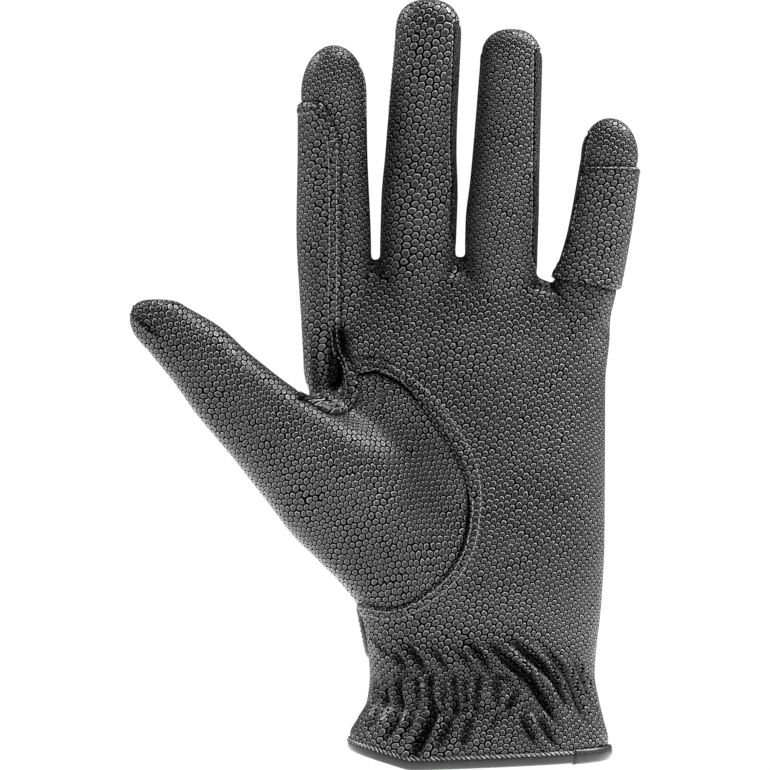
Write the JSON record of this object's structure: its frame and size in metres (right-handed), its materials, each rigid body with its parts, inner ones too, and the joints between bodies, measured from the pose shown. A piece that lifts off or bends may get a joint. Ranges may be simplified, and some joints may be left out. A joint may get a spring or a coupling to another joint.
{
  "type": "horse riding glove",
  "caption": "Left-hand riding glove in dark grained synthetic leather, with a set-in thumb, finger patches, a gathered wrist and a bound hem.",
  "frame": {"origin": "middle of the cuff opening, where the hand goes in", "axes": "+Z from the cuff to the fingertips, -Y the way the palm faces, +X towards the little finger"},
  "size_m": [0.1588, 0.0513, 0.2397],
  "materials": {
    "grained_leather": "matt dark grey with a scale-like pebble grain",
    "strip_leather": "matt dark grey with a finer pebble grain",
    "patch_leather": "matt dark grey with a large pebble grain and stitched edges",
    "binding_leather": "smooth satin dark grey, folded and stitched",
    "tab_leather": "smooth satin dark grey"
  },
  "bodies": {
    "root": {"palm_panel": "grained_leather", "back_panel": "grained_leather", "thumb": "grained_leather", "fourchette_index_middle": "strip_leather", "fourchette_middle_ring": "strip_leather", "fourchette_ring_little": "strip_leather", "index_patch": "patch_leather", "little_patch": "patch_leather", "hem_binding": "binding_leather", "closure_tab": "tab_leather"}
  },
  "joints": []
}
